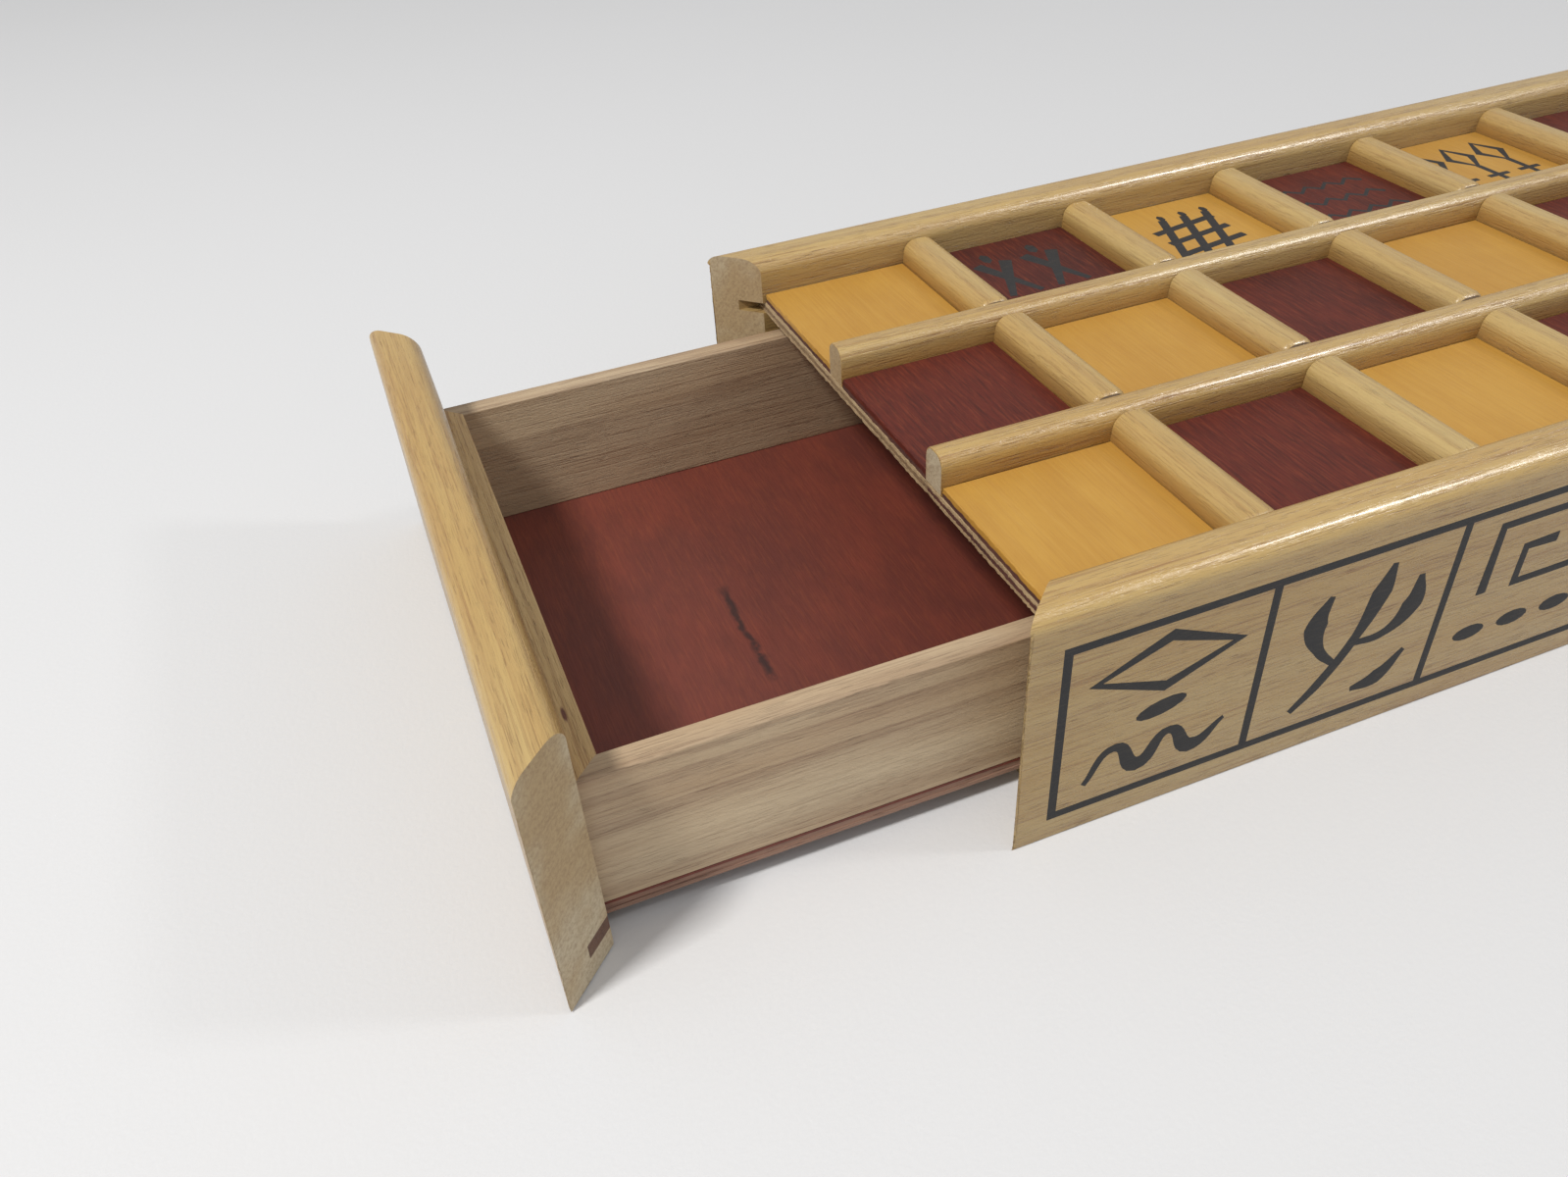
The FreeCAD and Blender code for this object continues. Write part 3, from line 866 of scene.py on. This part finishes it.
# %% Brush strokes
def stroke(points, closed=False, smooth=True):
    """A brushed line through (across, up, half width) points, in mm."""
    line = bpy.data.curves.new("stroke", "CURVE")
    line.dimensions = "3D"
    line.bevel_depth = 1.0 * MM
    line.bevel_resolution = 2
    line.use_fill_caps = True
    kind = "BEZIER" if smooth else "POLY"
    spline = line.splines.new(kind)
    knots = spline.bezier_points if smooth else spline.points
    knots.add(len(points) - 1)
    for knot, (across, up, half) in zip(knots, points):
        if smooth:
            knot.co = (across * MM, 0, up * MM)
            knot.handle_left_type = knot.handle_right_type = "AUTO"
        else:
            knot.co = (across * MM, 0, up * MM, 1)
        knot.radius = half * BRUSH
    spline.resolution_u = 8
    spline.use_cyclic_u = closed
    piece = bpy.data.objects.new("stroke", line)
    bpy.context.scene.collection.objects.link(piece)
    take_up(piece)
    bpy.ops.object.convert(target="MESH")
    return bpy.context.object


def oval_dab(across, up, reach, belly, lift=0.0):
    """An oval dab: the half width follows an ellipse along its length."""
    places = (-0.98, -0.8, -0.45, 0.0, 0.45, 0.8, 0.98)
    return [(across + reach * t, up + lift * t, belly * math.sqrt(1 - t * t)) for t in places]


LOZENGE_SEED_RIPPLE = (
    ([(4.6, 22.4, 0.85), (15.6, 27.0, 0.8), (26.6, 22.4, 0.95), (15.6, 18.2, 0.75)], True, False),
    (oval_dab(15.6, 14.3, 3.9, 1.15, 0.7), False, True),
    ([(4.6, 4.0, 0.4), (9.0, 9.4, 0.6), (13.0, 4.6, 1.1), (17.6, 9.2, 0.6), (21.6, 4.6, 1.1),
      (26.6, 8.0, 0.3)], False, True),
)
SPRIG = (
    ([(7.4, 3.6, 0.5), (11.4, 7.6, 0.8), (16.2, 15.0, 0.8), (18.6, 22.0, 1.5), (19.6, 26.6, 0.4)],
     False, True),
    ([(13.4, 10.6, 0.4), (9.8, 14.6, 0.7), (8.2, 19.4, 1.6), (9.8, 24.2, 0.4)], False, True),
    ([(15.4, 13.6, 0.4), (21.4, 13.8, 0.7), (25.0, 17.6, 1.6), (25.2, 22.8, 0.4)], False, True),
    ([(18.0, 4.0, 0.4), (22.4, 4.8, 1.3), (26.2, 8.8, 0.4)], False, True),
)
KEY_AND_SEEDS = (
    ([(7.0, 14.6, 0.75), (7.0, 26.6, 0.75), (24.4, 26.6, 0.75), (24.4, 14.8, 0.75),
      (13.0, 14.8, 0.75), (13.0, 21.2, 0.75), (18.8, 21.2, 0.75)], False, False),
    (oval_dab(7.4, 7.2, 2.9, 1.1), False, True),
    (oval_dab(15.6, 7.2, 2.9, 1.1), False, True),
    (oval_dab(23.8, 7.2, 2.9, 1.1), False, True),
)
RING_AND_BARS = (
    ([(15.6, 25.8, 0.9), (21.2, 20.2, 0.8), (15.6, 14.6, 0.9), (10.0, 20.2, 0.8)], True, True),
    ([(15.6, 21.4, 0.8), (15.6, 19.0, 0.8)], False, True),
    ([(5.0, 9.4, 0.4), (15.6, 10.2, 0.95), (26.4, 9.4, 0.4)], False, True),
    ([(7.4, 4.8, 0.4), (15.6, 5.6, 0.95), (23.8, 4.8, 0.4)], False, True),
)
ORNAMENTS = (LOZENGE_SEED_RIPPLE, SPRIG, KEY_AND_SEEDS, RING_AND_BARS)


def printed_frieze(name):
    """The frame with an ornament in every cell, as one flat piece."""
    parts = [printed_frame(name)]
    for cell in range(CELLS):
        for points, closed, smooth in ORNAMENTS[cell % len(ORNAMENTS)]:
            line = stroke(points, closed, smooth)
            flatten(line, Y, 2 * INK_PROUD)
            set_down(line, (cell * CELL_WIDE, 0, 0))
            parts.append(line)
    whole = join(name, parts)
    whole.data.materials.clear()
    whole.data.materials.append(ink)
    return whole


near_low = extent("side_rail_near")[0]
far_high = extent("side_rail_far")[1]
frieze = printed_frieze("frieze_near")
twin = copy_of(frieze, "frieze_far")
set_down(frieze, (near_low.x + FRAME_START, near_low.y, FRAME_LOW))
set_down(twin, (far_high.x - FRAME_START, far_high.y, FRAME_LOW), 180)
for piece in (frieze, twin):
    dress(piece, "case", [])
    print(piece.name, len(piece.data.polygons), "faces")

# %% [markdown]
# Four squares of the far row carry a printed mark. They are built from the same
# strokes, laid flat on the square.

# %% Marks on squares
def blob(across, up, half=1.1):
    """A small round dab: a short stroke that swells in the middle."""
    return [(across + half * t, up, half * share)
            for t, share in ((-0.6, 0.5), (0, 1), (0.6, 0.5))]


CROSSES = (
    [([(5 + k, 8, 0.5), (11 + k, 22, 1.0)], False, True) for k in (0, 10)]
    + [([(11 + k, 8, 0.5), (5 + k, 22, 1.0)], False, True) for k in (0, 10)]
    + [(blob(8 + k, 24.2, 1.6), False, True) for k in (0, 10)]
)
LATTICE = (
    [([(6 + k, 6, 0.7), (12 + k, 23, 0.7)], False, True) for k in (0, 5, 10)]
    + [([(7, 8 + k, 0.7), (22, 10.5 + k, 0.7)], False, True) for k in (0, 5, 10)]
    + [(blob(12.4 + k, 24.0), False, True) for k in (0, 5, 10)]
)
RIPPLES = [
    ([(4.2 + 2.5 * n, up + (1.1 if n % 2 else -1.1), 0.42) for n in range(9)], False, False)
    for up in (8.5, 15.2, 22.0)
]
BUDS = (
    [([(6.2 + k, 4.5, 0.5), (6.2 + k, 15.0, 0.55)], False, True) for k in (0, 8, 16)]
    + [([(6.2 + k, 15.0, 0.6), (9.0 + k, 20.0, 0.7), (6.2 + k, 25.4, 0.6), (3.4 + k, 20.0, 0.7)],
        True, False) for k in (0, 8, 16)]
    + [([(3.6 + k, 9.6, 0.5), (8.8 + k, 9.6, 0.5)], False, True) for k in (0, 8, 16)]
)
for column, marks in ((2, CROSSES), (3, LATTICE), (4, RIPPLES), (5, BUDS)):
    parts = []
    for points, closed, smooth in marks:
        line = stroke(points, closed, smooth)
        flatten(line, Y, 2 * INK_PROUD)
        line.rotation_euler = LAID_FLAT
        bpy.ops.object.transform_apply(location=True, rotation=True, scale=True)
        parts.append(line)
    low, high = extent(f"square_far_{column:02d}")
    mark = join(f"mark_far_{column:02d}", parts)
    set_down(mark, (low.x, low.y, high.z))
    dress(mark, "case", [ink])
    print(mark.name, [round(v / MM, 1) for v in mark.dimensions])

# %% [markdown]
# ## Nodes kept as they are
# The case's bottom panel and the brown strip in the drawer's front already have the
# right shape, so they only need a finish.

# %% Kept nodes
for name, finish in (("bottom_panel", veneer), ("slot_strip", brown)):
    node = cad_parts[name]
    node.data.materials.clear()
    node.data.materials.append(finish)
